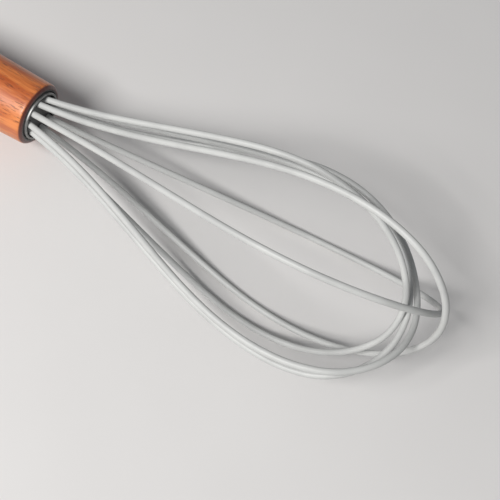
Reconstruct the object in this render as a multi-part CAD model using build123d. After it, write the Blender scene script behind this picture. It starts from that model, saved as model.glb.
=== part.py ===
# Balloon whisk with a turned wooden handle and five silicone-covered wire loops.
# Millimetres.  The whisk lies on its side as it would on a worktop: +X runs from
# the handle's butt to the tip, +Z is up, and it rests on the handle's butt and two
# strands of the cage at Z = 0.  The row's origin is below the middle of its box.
import math
import os

from build123d import *

os.makedirs("parts", exist_ok=True)

# Driving sizes.  X is the whisk's own axis here, and X = 0 is the mouth of the
# handle, where the strands leave it.
wire_diameter = 1.4
sleeve_bore = 1.44
sleeve_diameter = 2.45
strand_circle_radius = 7.4  # centres of the ten strands, in the mouth
strand_pitch_deg = 36.0

handle_face_x = -0.6
handle_end_x = -128.4
handle_mouth_radius = 12.6
handle_belly_radius = 13.6
handle_lip_radius = 1.75
hang_hole_radius = 3.0
hang_hole_x = -115.0
hang_hole_soften = 0.9
hang_hole_flare_y = 11.6

cup_radius = 9.85
cup_wall = 0.9
cup_front_x = 0.2
cup_back_x = -26.0
bore_chamfer = 0.5

plate_front_x = -0.9
plate_thickness = 1.2
slot_radius = 1.5
anchor_front_x = -16.5
anchor_thickness = 1.5
anchor_radius = 7.6
sleeve_end_x = -14.5

# A wire inside the cup, from its end to the plate: places and radii.
wire_entry = ((-22.5, 5.95), (-7.0, 5.95))

# A loop's shape in its own flat plane: half its width, as shares of the widest,
# at these shares of its reach.
reach_shares = (0.22, 0.46, 0.72, 0.93)
width_shares = (0.45, 0.80, 1.0, 0.713)
bends_per_loop = 26

# The loops, from the innermost at the tip to the outermost.
#   turn       place of its first hole round the mouth, in steps of the pitch
#   reach      mouth to tip, at the strand's centre
#   half       half the loop's width where it is widest
#   tip_full   change to the last width share
#   lean       sideways drift of the tip within the loop's plane
#   tilt       slope of the whole loop out of its plane
#   near, far  swing of each strand out of the plane, most at two thirds of the reach
loops = {
    1: dict(turn=0, reach=155.0, half=35.6, tip_full=-0.096, lean=-0.007, tilt=0.004, near=0.107, far=0.123),
    2: dict(turn=4, reach=157.7, half=33.4, tip_full=-0.013, lean=0.037, tilt=0.007, near=0.19, far=0.085),
    3: dict(turn=3, reach=161.1, half=37.4, tip_full=0.012, lean=0.059, tilt=-0.012, near=0.18, far=0.414),
    4: dict(turn=2, reach=166.6, half=43.8, tip_full=0.039, lean=-0.042, tilt=-0.044, near=0.063, far=0.001),
    5: dict(turn=1, reach=168.9, half=40.5, tip_full=0.029, lean=0.088, tilt=0.035, near=-0.16, far=-0.137),
}
lean_length = 160.2

# How the whisk lies.
roll_deg = 37.22
pitch_deg = 5.975


def flat_loop(loop):
    """The loop's centreline in its plane, X along the whisk and Y across."""
    side = [(0.0, strand_circle_radius)]
    for along, across in zip(reach_shares, width_shares):
        if along == reach_shares[-1]:
            across += loop["tip_full"]
        side.append((along * loop["reach"], across * loop["half"]))
    other = [(along, -across) for along, across in reversed(side)]
    return Spline(*side, (loop["reach"], 0.0), *other)


def bent_point(loop, along, across):
    """A point of the flat loop, moved to where the bent strand really runs."""
    share = min(max(along / loop["reach"], 0.0), 1.0)
    swing = loop["near"] if across > 0 else loop["far"]
    bulge = 6.75 * share**2 * (1.0 - share)
    out = loop["tilt"] * max(along, 0.0) + swing * across * bulge
    inside = across + loop["lean"] * max(along, 0.0) ** 2 / lean_length
    angle = math.radians(roll_deg + strand_pitch_deg * (0.5 + loop["turn"]))
    y = inside * math.cos(angle) - out * math.sin(angle)
    z = inside * math.sin(angle) + out * math.cos(angle)
    return Vector(along, y, z)


def bend_points(loop):
    """Corners of the straight runs that, once rounded, follow the bent loop."""
    flat = flat_loop(loop)

    def on_loop(share):
        place = flat @ min(max(share, 0.0), 1.0)
        return bent_point(loop, place.X, place.Y)

    corners = []
    for bend in range(bends_per_loop):
        before = on_loop(bend / bends_per_loop)
        here = on_loop((bend + 0.5) / bends_per_loop)
        after = on_loop((bend + 1) / bends_per_loop)
        corners.append(here * 2 - (before + after) * 0.5)
    entry = [bent_point(loop, along, across) for along, across in wire_entry]
    leave = [bent_point(loop, along, -across) for along, across in reversed(wire_entry)]
    return entry + corners + leave


def bent_wire(corners, start=None, stop=None):
    """Straight runs joined by arcs that meet them smoothly, between two corners."""
    edges = []
    last = start or corners[0]
    for before, corner, after in zip(corners, corners[1:], corners[2:]):
        run_in = corner - before
        run_out = after - corner
        reach = 0.49 * min(run_in.length, run_out.length)
        run_in = run_in.normalized()
        run_out = run_out.normalized()
        half_turn = math.radians(run_in.get_angle(run_out)) / 2
        radius = reach / math.tan(half_turn)
        inward = (run_out - run_in).normalized()
        crown = corner + inward * (radius / math.cos(half_turn) - radius)
        edges.append(Line(last, corner - run_in * reach))
        edges.append(ThreePointArc(corner - run_in * reach, crown, corner + run_out * reach))
        last = corner + run_out * reach
    edges.append(Line(last, stop or corners[-1]))
    return Wire(edges)


def swept(route, section):
    """A flat section carried along a route."""
    return sweep(Plane(route @ 0, z_dir=route % 0) * section, path=route)


def disc(radius, front_x, back_x):
    """A solid disc across the whisk's axis, between two places along it."""
    middle = (front_x + back_x) / 2
    return Pos(middle, 0, 0) * Rot(0, 90, 0) * Cylinder(radius, front_x - back_x)


cores = {}
sleeves = {}
sleeve_bars = {}
slots = []
routes = {}
for number, loop in loops.items():
    corners = bend_points(loop)
    route = bent_wire(corners)
    routes[number] = route
    cores[number] = swept(route, Circle(wire_diameter / 2))
    # The sleeve starts on the first straight run, inside the plug.
    ends = []
    for outer, inner in ((corners[0], corners[1]), (corners[-1], corners[-2])):
        run = inner - outer
        ends.append(outer + run * ((sleeve_end_x - outer.X) / run.X))
    covered = bent_wire(corners, ends[0], ends[1])
    sleeve_bars[number] = swept(covered, Circle(sleeve_diameter / 2))
    sleeves[number] = sleeve_bars[number] - swept(route, Circle(sleeve_bore / 2))
    for inner, outer in ((corners[1], corners[2]), (corners[-2], corners[-3])):
        run = outer - inner
        share = (plate_front_x - plate_thickness / 2 - inner.X) / run.X
        place = inner + run * share
        outward = Vector(0, place.Y, place.Z).normalized()
        for shift in (0.0, slot_radius):
            seat = Plane(place + outward * shift, z_dir=run)
            slots.append(seat * Cylinder(slot_radius, 4 * plate_thickness))

cup_inside = cup_radius - cup_wall
ferrule_cup = disc(cup_radius, cup_front_x, cup_back_x)
ferrule_cup -= disc(cup_inside, cup_front_x, cup_back_x + cup_wall)
rim_edges = ferrule_cup.edges().filter_by(GeomType.CIRCLE).group_by(Axis.X)[-1]
ferrule_cup = fillet(rim_edges, cup_wall * 0.3)

wire_plate = disc(cup_inside, plate_front_x, plate_front_x - plate_thickness)
for slot in slots:
    wire_plate -= slot

anchor_plate = disc(anchor_radius, anchor_front_x, anchor_front_x - anchor_thickness)
potting_plug = disc(cup_inside, plate_front_x - plate_thickness, cup_back_x + cup_wall)
potting_plug -= disc(anchor_radius, anchor_front_x, anchor_front_x - anchor_thickness)
for number, core in cores.items():
    anchor_plate -= core
    potting_plug -= core
    potting_plug -= sleeve_bars[number]

lip_centre = (handle_face_x - handle_lip_radius, handle_mouth_radius - handle_lip_radius)
face_line = Line((handle_face_x, 0), (handle_face_x, lip_centre[1]))
lip_arc = CenterArc(lip_centre, handle_lip_radius, 0, 90)
back_line = Spline(
    (lip_centre[0], handle_mouth_radius),
    (-44.0, handle_belly_radius),
    (-82.0, 12.9),
    (-112.0, 11.9),
    (-124.6, 8.6),
    (handle_end_x, 0),
    tangents=[(-1, 0.03), (0, -1)],
)
middle_line = Line((handle_end_x, 0), (handle_face_x, 0))
handle = revolve(make_face([face_line, lip_arc, back_line, middle_line]), axis=Axis.X)
handle -= disc(cup_radius, handle_face_x + 1, cup_back_x)
mouth_edges = handle.edges().filter_by(GeomType.CIRCLE).group_by(Axis.X)[-1]
handle = chamfer(mouth_edges.sort_by(SortBy.RADIUS)[0], bore_chamfer)
hang_hole = Pos(hang_hole_x, 0, 0) * Rot(90, 0, 0) * Cylinder(hang_hole_radius, 4 * handle_belly_radius)
handle -= hang_hole
for side in (-1, 1):
    flare = Cone(hang_hole_radius, hang_hole_radius + 2 * hang_hole_soften, 2 * hang_hole_soften)
    handle -= Pos(hang_hole_x, side * hang_hole_flare_y, 0) * Rot(-90 * side, 0, 0) * flare

nodes = {"handle": handle}
nodes["ferrule_cup"] = ferrule_cup
nodes["wire_plate"] = wire_plate
nodes["anchor_plate"] = anchor_plate
nodes["potting_plug"] = potting_plug
for number in loops:
    nodes[f"wire_core_{number}"] = cores[number]
    nodes[f"silicone_sleeve_{number}"] = sleeves[number]

lying = {name: Rot(0, -pitch_deg, 0) * part for name, part in nodes.items()}
box = Compound(children=[part.solids()[0] for part in lying.values()]).bounding_box()
to_origin = Pos(-box.center().X, -box.center().Y, -box.min.Z)
for name, part in lying.items():
    placed = to_origin * part
    count = len(placed.solids())
    shape = placed.solids()[0] if count == 1 else placed
    shape.label = name
    export_step(shape, f"parts/{name}.step")
    low = round(shape.bounding_box().min.Z, 3)
    print(name, "solids", count, "volume", round(placed.volume, 2), "valid", shape.is_valid, "lowest", low)
print("box", [round(v, 3) for v in (box.size.X, box.size.Y, box.size.Z)])
print("shift", [round(v, 4) for v in (-box.center().X, -box.center().Y, -box.min.Z)])
for number, route in routes.items():
    ideal = math.pi * (wire_diameter / 2) ** 2 * route.length
    share = cores[number].volume / ideal
    print("loop", number, "length", round(route.length, 1), "volume share", round(share, 5))
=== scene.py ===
import math

import bmesh
import bpy
import numpy as np
from mathutils import Matrix, Vector


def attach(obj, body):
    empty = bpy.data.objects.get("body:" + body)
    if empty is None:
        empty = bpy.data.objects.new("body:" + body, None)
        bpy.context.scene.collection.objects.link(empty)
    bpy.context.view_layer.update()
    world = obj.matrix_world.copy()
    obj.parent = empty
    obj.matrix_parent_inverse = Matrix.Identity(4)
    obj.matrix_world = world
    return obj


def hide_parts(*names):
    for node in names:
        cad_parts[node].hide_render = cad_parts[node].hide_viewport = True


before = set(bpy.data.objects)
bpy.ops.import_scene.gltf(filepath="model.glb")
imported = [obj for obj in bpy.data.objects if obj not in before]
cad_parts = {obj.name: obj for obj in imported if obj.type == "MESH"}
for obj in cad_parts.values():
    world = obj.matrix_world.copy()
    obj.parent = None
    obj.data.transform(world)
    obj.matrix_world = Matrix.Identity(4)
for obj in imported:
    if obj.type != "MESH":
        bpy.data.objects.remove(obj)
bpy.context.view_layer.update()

print("frame loaded:", len(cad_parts), "nodes")

mm = 0.001
sharpDeg = 38  # edges that turn more than this stay crisp

# How the whisk lies. Its pieces are drawn round its own axis in mm, with X = 0 at the
# handle's mouth, then tipped up and moved onto the worktop.
lying = {"tipUpDeg": 5.975, "rollDeg": 37.22, "shift": (-20.0584, 3.014, 23.6213)}
whiskPlace = (
    Matrix.Translation(Vector(lying["shift"]) * mm)
    @ Matrix.Rotation(math.radians(-lying["tipUpDeg"]), 4, "Y")
)


# Shapes.

# A smooth line through a few points, sampled finely. Slopes hold its ends if they are given.
def smoothLine(points, startSlope=None, endSlope=None, perSpan=60):
    points = np.array(points, float)
    steps = np.linalg.norm(np.diff(points, axis=0), axis=1)
    at = np.concatenate([[0.0], np.cumsum(steps)])

    def slopeOf(ends, place):  # from the curve through the nearest four points
        return np.array([
            np.polyval(np.polyder(np.polyfit(at[ends], points[ends, k], 3)), place)
            for k in range(points.shape[1])
        ])

    count = len(points)
    ties = np.zeros((count, count))
    wanted = np.zeros(points.shape)
    ties[0, 0] = ties[-1, -1] = 1.0
    wanted[0] = slopeOf(slice(0, 4), at[0]) if startSlope is None else startSlope
    wanted[-1] = slopeOf(slice(-4, None), at[-1]) if endSlope is None else endSlope
    for k in range(1, count - 1):
        before, after = steps[k - 1], steps[k]
        ties[k, k - 1:k + 2] = after, 2 * (before + after), before
        rise = after * (points[k] - points[k - 1]) / before
        rise = rise + before * (points[k + 1] - points[k]) / after
        wanted[k] = 3 * rise
    slopes = np.linalg.solve(ties, wanted)
    line = [points[:1]]
    for k in range(count - 1):
        t = (np.arange(1, perSpan + 1) / perSpan)[:, None]
        line.append(
            (2 * t**3 - 3 * t**2 + 1) * points[k]
            + (t**3 - 2 * t**2 + t) * steps[k] * slopes[k]
            + (3 * t**2 - 2 * t**3) * points[k + 1]
            + (t**3 - t**2) * steps[k] * slopes[k + 1]
        )
    return np.concatenate(line)


# Points at given shares of a line's length.
def alongLine(line, shares):
    lengths = np.concatenate([[0.0], np.cumsum(np.linalg.norm(np.diff(line, axis=0), axis=1))])
    places = np.clip(shares, 0, 1) * lengths[-1]
    return np.stack([np.interp(places, lengths, line[:, k]) for k in range(line.shape[1])], axis=1)


# A new piece from points in mm round the whisk's axis, placed where the whisk lies.
def makePiece(name, points, faces, place=whiskPlace):
    mesh = bpy.data.meshes.new(name)
    mesh.from_pydata([tuple(p) for p in np.array(points) * mm], [], faces)
    work = bmesh.new()
    work.from_mesh(mesh)
    bmesh.ops.recalc_face_normals(work, faces=work.faces)
    work.to_mesh(mesh)
    work.free()
    mesh.shade_smooth()
    mesh.set_sharp_from_angle(angle=math.radians(sharpDeg))
    mesh.transform(place)
    piece = bpy.data.objects.new(name, mesh)
    bpy.context.scene.collection.objects.link(piece)
    return piece


# A turned piece: an outline of (x, radius) spun round the axis. Radius 0 closes an end.
def turnedPiece(name, outline, sides, place=whiskPlace):
    points, rings, faces = [], [], []
    for x, radius in outline:
        start = len(points)
        if radius < 1e-6:
            points.append((x, 0.0, 0.0))
            rings.append([start])
            continue
        for k in range(sides):
            turn = 2 * math.pi * k / sides
            points.append((x, radius * math.cos(turn), radius * math.sin(turn)))
        rings.append(list(range(start, start + sides)))
    for near, far in zip(rings, rings[1:]):
        for k in range(sides):
            n = (k + 1) % sides
            if len(near) == 1:
                faces.append((near[0], far[n], far[k]))
            elif len(far) == 1:
                faces.append((near[k], near[n], far[0]))
            else:
                faces.append((near[k], near[n], far[n], far[k]))
    return makePiece(name, points, faces, place)


# A quarter round in an outline, from one angle to another.
def roundCorner(centre, radius, fromDeg, toDeg, count=10):
    turns = np.radians(np.linspace(fromDeg, toDeg, count))
    return [(centre[0] + radius * math.cos(t), centre[1] + radius * math.sin(t)) for t in turns]


# A hollow tube along a line, closed by a ring at each end.
def tubePiece(name, line, outerRadius, innerRadius, sides):
    run = np.gradient(line, axis=0)
    run /= np.linalg.norm(run, axis=1)[:, None]
    side = np.cross(run[0], (0.0, 0.0, 1.0))
    turns = 2 * math.pi * np.arange(sides) / sides
    outer, inner = [], []
    for place, ahead in zip(line, run):
        side = side - ahead * np.dot(side, ahead)
        side /= np.linalg.norm(side)
        up = np.cross(ahead, side)
        ring = np.cos(turns)[:, None] * side + np.sin(turns)[:, None] * up
        outer.append(place + outerRadius * ring)
        inner.append(place + innerRadius * ring)
    count = len(line)
    points = np.concatenate(outer + inner)
    faces = []
    for k in range(sides):
        n = (k + 1) % sides
        for ring in range(count - 1):
            a, b = ring * sides, (ring + 1) * sides
            faces.append((a + k, a + n, b + n, b + k))
            c, d = a + count * sides, b + count * sides
            faces.append((c + n, c + k, d + k, d + n))
        last, hole = (count - 1) * sides, count * sides
        faces.append((k, hole + k, hole + n, n))
        faces.append((last + n, last + hole + n, last + hole + k, last + k))
    return makePiece(name, points, faces)


# Materials. Each is a node tree on a principled surface.

# A new material, with its tree and its principled surface.
def newFinish(name, metallic, roughness):
    material = bpy.data.materials.new(name)
    material.use_nodes = True
    tree = material.node_tree
    surface = next(n for n in tree.nodes if n.type == "BSDF_PRINCIPLED")
    surface.inputs["Metallic"].default_value = metallic
    surface.inputs["Roughness"].default_value = roughness
    return material, tree, surface


def addNode(tree, kind, **values):
    node = tree.nodes.new(kind)
    for key, value in values.items():
        if hasattr(node, key):
            setattr(node, key, value)
        else:
            node.inputs[key].default_value = value
    return node


# Texture space along the whisk's own axis, in metres.
def whiskSpace(tree):
    place = addNode(tree, "ShaderNodeTexCoord")
    back = addNode(tree, "ShaderNodeMapping", vector_type="TEXTURE")
    back.inputs["Location"].default_value = whiskPlace.to_translation()
    back.inputs["Rotation"].default_value = whiskPlace.to_euler()
    tree.links.new(place.outputs["Object"], back.inputs["Vector"])
    return back.outputs["Vector"]


# The same space stretched, for a pattern's size.
def stretchedPlace(tree, scale, shift=(0.0, 0.0, 0.0)):
    stretch = addNode(tree, "ShaderNodeMapping", Scale=scale, Location=shift)
    tree.links.new(whiskSpace(tree), stretch.inputs["Vector"])
    return stretch.outputs["Vector"]


# Noise whose size comes from how its space is stretched.
def noiseOf(tree, space, detail=3.0, roughness=0.55, distortion=0.0):
    noise = addNode(
        tree, "ShaderNodeTexNoise", Scale=1.0, Detail=detail, Roughness=roughness, Distortion=distortion
    )
    tree.links.new(space, noise.inputs["Vector"])
    return noise.outputs["Fac"]


# A value spread over a band: 0 below low, 1 above high, or the other way round.
def spread(tree, value, low, high, toLow=0.0, toHigh=1.0):
    node = tree.nodes.new("ShaderNodeMapRange")
    node.interpolation_type = "SMOOTHSTEP"
    for socket, number in zip(("From Min", "From Max", "To Min", "To Max"), (low, high, toLow, toHigh)):
        node.inputs[socket].default_value = number
    tree.links.new(value, node.inputs["Value"])
    return node.outputs["Result"]


def mathOf(tree, operation, first, second):
    node = addNode(tree, "ShaderNodeMath", operation=operation)
    for socket, value in zip(node.inputs, (first, second)):
        if isinstance(value, (int, float)):
            socket.default_value = value
        else:
            tree.links.new(value, socket)
    return node.outputs["Value"]


# One colour over another by a share.
def paint(tree, under, over, share):
    node = tree.nodes.new("ShaderNodeMix")
    node.data_type = "RGBA"
    for socket, value in ((node.inputs[0], share), (node.inputs[6], under), (node.inputs[7], over)):
        if isinstance(value, (int, float)):
            socket.default_value = value
        elif isinstance(value, tuple):
            socket.default_value = (*value, 1.0)
        else:
            tree.links.new(value, socket)
    return node.outputs[2]


# Height as bump, with its depth in metres.
def raiseSurface(tree, surface, height, depth):
    bump = addNode(tree, "ShaderNodeBump", Strength=1.0, Distance=depth)
    tree.links.new(height, bump.inputs["Height"])
    tree.links.new(bump.outputs["Normal"], surface.inputs["Normal"])


# Two shades of a look's colour, clouded together.
def mottleSurface(tree, surface, clouds, look):
    colour = paint(tree, look["shade"], look["colour"], spread(tree, clouds, *look["cloudRange"]))
    tree.links.new(colour, surface.inputs["Base Color"])


roughenRange = (0.3, 0.7)  # values of a pattern between which the roughness changes


# Roughness that wanders with a pattern, from a little smoother to a little rougher.
def roughenSurface(tree, surface, pattern, look):
    smoothest = look["roughness"] - look["smoother"]
    roughest = look["roughness"] + look["rougher"]
    wandering = spread(tree, pattern, *roughenRange, smoothest, roughest)
    tree.links.new(wandering, surface.inputs["Roughness"])


woodLook = {
    "light": (0.75, 0.245, 0.064),
    "deep": (0.43, 0.092, 0.021),
    "pore": (0.150, 0.036, 0.012),
    # painted shade: a near-black ring in the chamfer groove where the wood meets the cup
    "endGrain": (0.105, 0.017, 0.008),
    "seamPaintedShade": (0.012, 0.009, 0.008),
    "roughness": 0.42,
    "smoother": 0.05,
    "rougher": 0.09,
    "coat": 0.55,
    "coatRoughness": 0.36,
    "faceFrom": -1.75,  # mm along the axis where the dark end grain begins
    "faceTo": -1.15,
    "seamShadeFrom": 11.3,  # mm from the axis where the painted shade in the groove round the cup fades out
    "seamShadeTo": 10.5,  # and where it is darkest
    "poreDepth": 0.00010,
    # Pattern sizes as waves per metre along and across the grain, then where each pattern starts.
    "bands": ((14, 110, 90), (0.0, 0.0, 0.0)),
    "streaks": ((45, 620, 520), (3, 1, 7)),
    "flecks": ((230, 2300, 1900), (11, 5, 2)),
    "fleckPatches": ((70, 260, 220), (1, 9, 4)),
    "bandShare": 0.62,  # how much of the tone the broad bands make, and how much the streaks
    "streakShare": 0.38,
    "toneRange": (0.36, 0.62),
    "fleckRange": (0.555, 0.63),
    "patchRange": (0.38, 0.56),
    "fleckStrength": 0.65,
    "streakHeight": 0.35,  # share of the pores' depth
}


def makeStainedWood():
    look = woodLook
    material, tree, surface = newFinish("stainedWood", 0.0, look["roughness"])
    link = tree.links.new
    surface.inputs["Coat Weight"].default_value = look["coat"]
    surface.inputs["Coat Roughness"].default_value = look["coatRoughness"]
    broad = noiseOf(tree, stretchedPlace(tree, *look["bands"]), detail=4.0, roughness=0.6, distortion=0.6)
    streaks = noiseOf(tree, stretchedPlace(tree, *look["streaks"]), roughness=0.6, distortion=0.3)
    tone = mathOf(
        tree,
        "ADD",
        mathOf(tree, "MULTIPLY", broad, look["bandShare"]),
        mathOf(tree, "MULTIPLY", streaks, look["streakShare"]),
    )
    colour = paint(tree, look["deep"], look["light"], spread(tree, tone, *look["toneRange"]))
    fleckNoise = noiseOf(tree, stretchedPlace(tree, *look["flecks"]), detail=2.0, roughness=0.5)
    patches = noiseOf(tree, stretchedPlace(tree, *look["fleckPatches"]), detail=2.0, roughness=0.5)
    flecks = mathOf(
        tree,
        "MULTIPLY",
        spread(tree, fleckNoise, *look["fleckRange"]),
        spread(tree, patches, *look["patchRange"]),
    )
    colour = paint(tree, colour, look["pore"], mathOf(tree, "MULTIPLY", flecks, look["fleckStrength"]))
    # End grain drinks the stain, and painted shade darkens the groove where the wood meets the cup.
    parts = addNode(tree, "ShaderNodeSeparateXYZ")
    link(whiskSpace(tree), parts.inputs["Vector"])
    atFace = spread(tree, parts.outputs["X"], look["faceFrom"] * mm, look["faceTo"] * mm)
    colour = paint(tree, colour, look["endGrain"], atFace)
    square = mathOf(
        tree,
        "ADD",
        mathOf(tree, "POWER", parts.outputs["Y"], 2.0),
        mathOf(tree, "POWER", parts.outputs["Z"], 2.0),
    )
    away = mathOf(tree, "SQRT", square, 0.0)
    inSeamShade = spread(tree, away, look["seamShadeTo"] * mm, look["seamShadeFrom"] * mm, 1.0, 0.0)
    colour = paint(tree, colour, look["seamPaintedShade"], mathOf(tree, "MULTIPLY", inSeamShade, atFace))
    link(colour, surface.inputs["Base Color"])
    roughenSurface(tree, surface, streaks, look)
    height = mathOf(tree, "SUBTRACT", mathOf(tree, "MULTIPLY", streaks, look["streakHeight"]), flecks)
    raiseSurface(tree, surface, height, look["poreDepth"])
    return material


siliconeLook = {
    "colour": (0.530, 0.538, 0.530),
    "shade": (0.475, 0.482, 0.476),
    "roughness": 0.46,
    "smoother": 0.04,
    "rougher": 0.06,
    "specular": 0.45,
    "subsurface": 0.06,
    "subsurfaceRadius": (0.0010, 0.0010, 0.0010),
    "cloudSize": (60, 60, 60),  # waves per metre
    "cloudRange": (0.35, 0.60),
    "grainSize": (2600, 2600, 2600),
    "grainDepth": 0.000012,
}


def makeGreySilicone():
    look = siliconeLook
    material, tree, surface = newFinish("greySilicone", 0.0, look["roughness"])
    surface.inputs["Subsurface Weight"].default_value = look["subsurface"]
    surface.inputs["Subsurface Radius"].default_value = look["subsurfaceRadius"]
    surface.inputs["Specular IOR Level"].default_value = look["specular"]
    clouds = noiseOf(tree, stretchedPlace(tree, look["cloudSize"]))
    mottleSurface(tree, surface, clouds, look)
    grain = noiseOf(tree, stretchedPlace(tree, look["grainSize"]), detail=2.0)
    roughenSurface(tree, surface, grain, look)
    raiseSurface(tree, surface, grain, look["grainDepth"])
    return material


# What all the steel shares: fine marks left by drawing or pressing.
steelLook = {
    "smoother": 0.05,
    "rougher": 0.08,
    "markSize": (900, 900, 900),  # waves per metre
    "cloudRange": (0.35, 0.6),
    "markShade": 0.8,
    "markDepth": 0.000004,
}
steelKinds = {
    "polishedSteel": {"colour": (0.37, 0.37, 0.365), "roughness": 0.50},
    # painted shade: this steel is darkened for the plate sunk inside the cup at the handle's mouth
    "plateSteelPaintedShade": {"colour": (0.15, 0.15, 0.152), "roughness": 0.40},
    "springSteel": {"colour": (0.55, 0.55, 0.55), "roughness": 0.30},
}


def makeSteel(name):
    look = {**steelLook, **steelKinds[name]}
    look["shade"] = tuple(channel * look["markShade"] for channel in look["colour"])
    material, tree, surface = newFinish(name, 1.0, look["roughness"])
    marks = noiseOf(tree, stretchedPlace(tree, look["markSize"]))
    mottleSurface(tree, surface, marks, look)
    roughenSurface(tree, surface, marks, look)
    raiseSurface(tree, surface, marks, look["markDepth"])
    return material


resinLook = {
    "colour": (0.030, 0.028, 0.026),
    "shade": (0.012, 0.011, 0.010),
    "roughness": 0.55,
    "lumpSize": (500, 500, 500),  # waves per metre
    "cloudRange": (0.4, 0.6),
    "lumpDepth": 0.00008,
}


def makeDarkResin():
    look = resinLook
    material, tree, surface = newFinish("darkResin", 0.0, look["roughness"])
    lumps = noiseOf(tree, stretchedPlace(tree, look["lumpSize"]), detail=4.0)
    mottleSurface(tree, surface, lumps, look)
    raiseSurface(tree, surface, lumps, look["lumpDepth"])
    return material


stainedWood = makeStainedWood()
greySilicone = makeGreySilicone()
polishedSteel = makeSteel("polishedSteel")
plateSteelPaintedShade = makeSteel("plateSteelPaintedShade")
springSteel = makeSteel("springSteel")
darkResin = makeDarkResin()
print("materials made")


def finishPiece(piece, material, slotName, *replacedNodes):
    piece.data.materials.append(material)
    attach(piece, "root")
    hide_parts(*replacedNodes)
    print("made", piece.name, "with", len(piece.data.polygons), "faces")


# The turned wooden handle.
handle = {
    "faceX": -0.6,
    "endX": -128.4,
    "mouthRadius": 12.6,
    "mouthSlope": 0.03,  # how fast it widens behind the lip
    "lipRadius": 1.75,
    "back": ((-44.0, 13.6), (-82.0, 12.9), (-112.0, 11.9), (-124.6, 8.6)),
    "boreRadius": 9.85,
    "boreEndX": -26.0,
    "boreChamfer": 0.5,
    "holeX": -115.0,
    "holeRadius": 3.0,
    "holeFlareStart": 10.7,
    "holeFlareEnd": 12.5,
    "drillReach": 20.0,
    "drillSides": 64,
    "rings": 150,
    "sides": 160,
}


def makeHandle():
    h = handle
    lipX = h["faceX"] - h["lipRadius"]
    lipCentre = (lipX, h["mouthRadius"] - h["lipRadius"])
    back = smoothLine(
        [(lipX, h["mouthRadius"]), *h["back"], (h["endX"], 0.0)],
        startSlope=np.array((-1.0, h["mouthSlope"])) / math.hypot(1.0, h["mouthSlope"]),
        endSlope=(0.0, -1.0),
    )
    back = alongLine(back, np.linspace(0, 1, h["rings"])[1:])
    outline = [(h["boreEndX"], 0.0), (h["boreEndX"], h["boreRadius"])]
    outline.append((h["faceX"] - h["boreChamfer"], h["boreRadius"]))
    outline.append((h["faceX"], h["boreRadius"] + h["boreChamfer"]))
    outline += roundCorner(lipCentre, h["lipRadius"], 0, 90)
    outline += [(x, max(radius, 0.0)) for x, radius in back]
    wood = turnedPiece("turnedHandle", outline, h["sides"])
    flareRadius = h["holeRadius"] + h["holeFlareEnd"] - h["holeFlareStart"]
    drillOutline = [(-h["drillReach"], 0.0), (-h["drillReach"], flareRadius)]
    drillOutline.append((-h["holeFlareEnd"], flareRadius))
    drillOutline.append((-h["holeFlareStart"], h["holeRadius"]))
    drillOutline += [(-x, radius) for x, radius in reversed(drillOutline)]
    across = Matrix.Translation((h["holeX"] * mm, 0, 0)) @ Matrix.Rotation(math.radians(90), 4, "Z")
    drill = turnedPiece("holeDrill", drillOutline, h["drillSides"], whiskPlace @ across)
    cut = wood.modifiers.new("hangingHole", "BOOLEAN")
    cut.object = drill
    cut.operation = "DIFFERENCE"
    cut.solver = "EXACT"
    bpy.context.view_layer.update()
    evaluated = wood.evaluated_get(bpy.context.evaluated_depsgraph_get())
    cutMesh = bpy.data.meshes.new_from_object(evaluated)
    wood.modifiers.clear()
    wood.data = cutMesh
    bpy.data.objects.remove(drill)
    cutMesh.set_sharp_from_angle(angle=math.radians(sharpDeg))
    finishPiece(wood, stainedWood, "stained_wood", "handle")


makeHandle()

# The steel cup let into the handle's mouth. Only its rolled rim shows.
cup = {
    "radius": 9.85,
    "wall": 0.9,
    "frontX": 0.2,
    "backX": -26.0,
    "rimRound": 0.27,
    "rimPoints": 7,
    "sides": 128,
}


def makeCup():
    c = cup
    inside = c["radius"] - c["wall"]
    rimX = c["frontX"] - c["rimRound"]
    outline = [(c["backX"], 0.0), (c["backX"], c["radius"])]
    outerCentre = (rimX, c["radius"] - c["rimRound"])
    innerCentre = (rimX, inside + c["rimRound"])
    outline += reversed(roundCorner(outerCentre, c["rimRound"], 0, 90, c["rimPoints"]))
    outline += reversed(roundCorner(innerCentre, c["rimRound"], -90, 0, c["rimPoints"]))
    outline += [(c["backX"] + c["wall"], inside), (c["backX"] + c["wall"], 0.0)]
    steelCup = turnedPiece("ferruleCup", outline, c["sides"])
    finishPiece(steelCup, polishedSteel, "polished_steel", "ferrule_cup")


makeCup()

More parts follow.
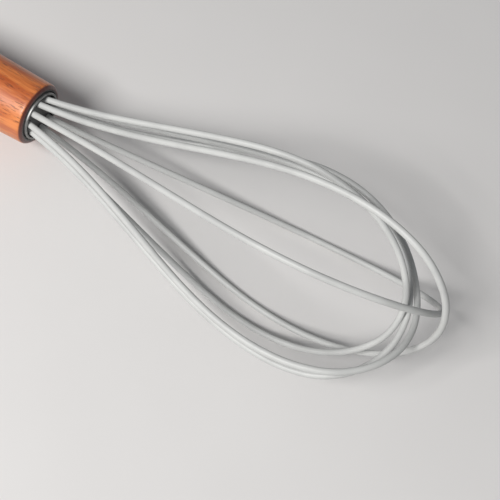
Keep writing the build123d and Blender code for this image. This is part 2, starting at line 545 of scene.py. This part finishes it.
# The silicone sleeves. Each follows one bent wire from inside the handle round to the tip.
#   turn       place of its first hole round the mouth
#   reach      mouth to tip
#   half       half the loop's width where it is widest
#   tipFull    change to the last width share
#   lean       sideways drift of the tip
#   tilt       slope of the whole loop out of its plane
#   near, far  swing of each strand out of the plane
sleeve = {
    "outerRadius": 1.225,
    "innerRadius": 0.72,
    "circleRadius": 7.4,
    "pitchDeg": 36.0,
    "startX": -14.5,
    "entry": ((-22.5, 5.95), (-7.0, 5.95)),
    "reachShares": (0.22, 0.46, 0.72, 0.93),
    "widthShares": (0.45, 0.80, 1.0, 0.713),
    "bends": 26,
    "pointsPerBend": 9,
    "leanLength": 160.2,
    "bulgeScale": 6.75,  # makes a swing's bulge 1 where it is greatest
    "cornerShare": 0.49,  # how much of the shorter run an arc takes up
    "sides": 20,
}
sleeveShapes = {
    1: {"turn": 0, "reach": 155.0, "half": 35.6, "tipFull": -0.096, "lean": -0.007, "tilt": 0.004,
        "near": 0.107, "far": 0.123},
    2: {"turn": 4, "reach": 157.7, "half": 33.4, "tipFull": -0.013, "lean": 0.037, "tilt": 0.007,
        "near": 0.19, "far": 0.085},
    3: {"turn": 3, "reach": 161.1, "half": 37.4, "tipFull": 0.012, "lean": 0.059, "tilt": -0.012,
        "near": 0.18, "far": 0.414},
    4: {"turn": 2, "reach": 166.6, "half": 43.8, "tipFull": 0.039, "lean": -0.042, "tilt": -0.044,
        "near": 0.063, "far": 0.001},
    5: {"turn": 1, "reach": 168.9, "half": 40.5, "tipFull": 0.029, "lean": 0.088, "tilt": 0.035,
        "near": -0.16, "far": -0.137},
}


# The flat loop's points moved to where the bent strand really runs.
def bentPlaces(shape, along, across):
    share = np.clip(along / shape["reach"], 0, 1)
    swing = np.where(across > 0, shape["near"], shape["far"])
    bulge = sleeve["bulgeScale"] * share**2 * (1 - share)
    ahead = np.maximum(along, 0)
    out = shape["tilt"] * ahead + swing * across * bulge
    inside = across + shape["lean"] * ahead**2 / sleeve["leanLength"]
    turn = math.radians(lying["rollDeg"] + sleeve["pitchDeg"] * (0.5 + shape["turn"]))
    y = inside * math.cos(turn) - out * math.sin(turn)
    z = inside * math.sin(turn) + out * math.cos(turn)
    return np.stack([along, y, z], axis=1)


# The corners of straight runs that, once rounded, follow the bent loop.
def bendCorners(shape):
    side = [(0.0, sleeve["circleRadius"])]
    for along, across in zip(sleeve["reachShares"], sleeve["widthShares"]):
        if along == sleeve["reachShares"][-1]:
            across += shape["tipFull"]
        side.append((along * shape["reach"], across * shape["half"]))
    other = [(along, -across) for along, across in reversed(side)]
    flat = smoothLine([*side, (shape["reach"], 0.0), *other])
    spots = alongLine(flat, np.arange(2 * sleeve["bends"] + 1) / (2 * sleeve["bends"]))
    bent = bentPlaces(shape, spots[:, 0], spots[:, 1])
    corners = 2 * bent[1::2] - (bent[:-2:2] + bent[2::2]) / 2
    entry = np.array(sleeve["entry"])
    enter = bentPlaces(shape, entry[:, 0], entry[:, 1])
    leave = bentPlaces(shape, entry[::-1, 0], -entry[::-1, 1])
    return np.concatenate([enter, corners, leave])


# The corners rounded by arcs that meet the straight runs smoothly.
def roundedLine(corners):
    line = []
    for before, corner, after in zip(corners, corners[1:], corners[2:]):
        runIn, runOut = corner - before, after - corner
        reach = sleeve["cornerShare"] * min(np.linalg.norm(runIn), np.linalg.norm(runOut))
        runIn = runIn / np.linalg.norm(runIn)
        runOut = runOut / np.linalg.norm(runOut)
        turn = math.acos(np.clip(np.dot(runIn, runOut), -1, 1))
        radius = reach / math.tan(turn / 2)
        start = corner - runIn * reach
        inward = runOut - runIn * np.dot(runIn, runOut)
        inward /= np.linalg.norm(inward)
        for part in np.linspace(0, turn, sleeve["pointsPerBend"]):
            line.append(start + radius * (math.sin(part) * runIn + (1 - math.cos(part)) * inward))
    return np.array(line)


def makeSleeve(number):
    shape = sleeveShapes[number]
    corners = bendCorners(shape)
    ends = []
    for outer, inner in ((corners[0], corners[1]), (corners[-1], corners[-2])):
        run = inner - outer
        ends.append(outer + run * (sleeve["startX"] - outer[0]) / run[0])
    middle = roundedLine(corners)
    line = np.concatenate([[ends[0]], middle, [ends[1]]])
    tube = tubePiece(
        f"siliconeSleeve{number}", line, sleeve["outerRadius"], sleeve["innerRadius"], sleeve["sides"]
    )
    finishPiece(tube, greySilicone, "grey_silicone", f"silicone_sleeve_{number}")


for number in sleeveShapes:
    makeSleeve(number)

# The nodes that stay as the CAD drew them, each with its own finish.
keptNodes = {
    "wire_plate": plateSteelPaintedShade,
    "anchor_plate": plateSteelPaintedShade,
    "potting_plug": darkResin,
    **{f"wire_core_{number}": springSteel for number in sleeveShapes},
}
for nodeName, material in keptNodes.items():
    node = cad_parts[nodeName]
    node.data.materials.clear()
    node.data.materials.append(material)
print("kept nodes finished:", len(keptNodes))

# The worktop, the light and the camera.
worktop = {
    "halfSize": 3.0,
    "colour": (0.72, 0.71, 0.705),
    "shade": (0.69, 0.68, 0.675),
    "roughness": 0.55,
    "specular": 0.3,
    "cloudSize": (5, 5, 5),  # waves per metre
    "cloudRange": (0.35, 0.65),
}


def makeWorktop():
    size = worktop["halfSize"]
    corners = [(-size, -size, 0), (size, -size, 0), (size, size, 0), (-size, size, 0)]
    mesh = bpy.data.meshes.new("worktop")
    mesh.from_pydata(corners, [], [(0, 1, 2, 3)])
    floor = bpy.data.objects.new("worktop", mesh)
    bpy.context.scene.collection.objects.link(floor)
    material, tree, surface = newFinish("paleWorktop", 0.0, worktop["roughness"])
    clouds = noiseOf(tree, stretchedPlace(tree, worktop["cloudSize"]))
    mottleSurface(tree, surface, clouds, worktop)
    surface.inputs["Specular IOR Level"].default_value = worktop["specular"]
    mesh.materials.append(material)


makeWorktop()

lights = {
    "window": {"at": (-0.24, -0.80, 0.92), "aim": (0.0, 0.0, 0.02), "size": (0.40, 0.40), "power": 17.0,
               "colour": (1.0, 0.985, 0.965)},
    "room": {"at": (0.55, 0.35, 1.1), "aim": (0.0, 0.0, 0.0), "size": (1.2, 1.2), "power": 0.8,
             "colour": (0.97, 0.985, 1.0)},
}
roomShade = {"colour": (0.93, 0.96, 1.0), "strength": 0.16}


def makeLights():
    for name, light in lights.items():
        lamp = bpy.data.lights.new(name, "AREA")
        lamp.shape = "RECTANGLE"
        lamp.size, lamp.size_y = light["size"]
        lamp.energy = light["power"]
        lamp.color = light["colour"]
        holder = bpy.data.objects.new(name, lamp)
        bpy.context.scene.collection.objects.link(holder)
        holder.location = light["at"]
        aim = Vector(light["aim"]) - Vector(light["at"])
        holder.rotation_euler = aim.to_track_quat("-Z", "Y").to_euler()
    world = bpy.data.worlds.new("room")
    world.use_nodes = True
    back = world.node_tree.nodes["Background"]
    back.inputs["Color"].default_value = (*roomShade["colour"], 1.0)
    back.inputs["Strength"].default_value = roomShade["strength"]
    bpy.context.scene.world = world
    bpy.context.scene.view_settings.view_transform = "Standard"


makeLights()

camera = {
    "at": (110.56, -178.59, 346.97),
    "turnDeg": (27.758, -10.919, 30.928),
    "lens": 72.0,
    "sensor": 36.0,
    "clipStart": 0.01,
}


def makeCamera():
    lens = bpy.data.cameras.new("camera")
    lens.lens = camera["lens"]
    lens.sensor_width = camera["sensor"]
    lens.clip_start = camera["clipStart"]
    eye = bpy.data.objects.new("camera", lens)
    bpy.context.scene.collection.objects.link(eye)
    eye.location = Vector(camera["at"]) * mm
    eye.rotation_euler = [math.radians(turn) for turn in camera["turnDeg"]]
    bpy.context.scene.camera = eye


makeCamera()
print("worktop, lights and camera made")
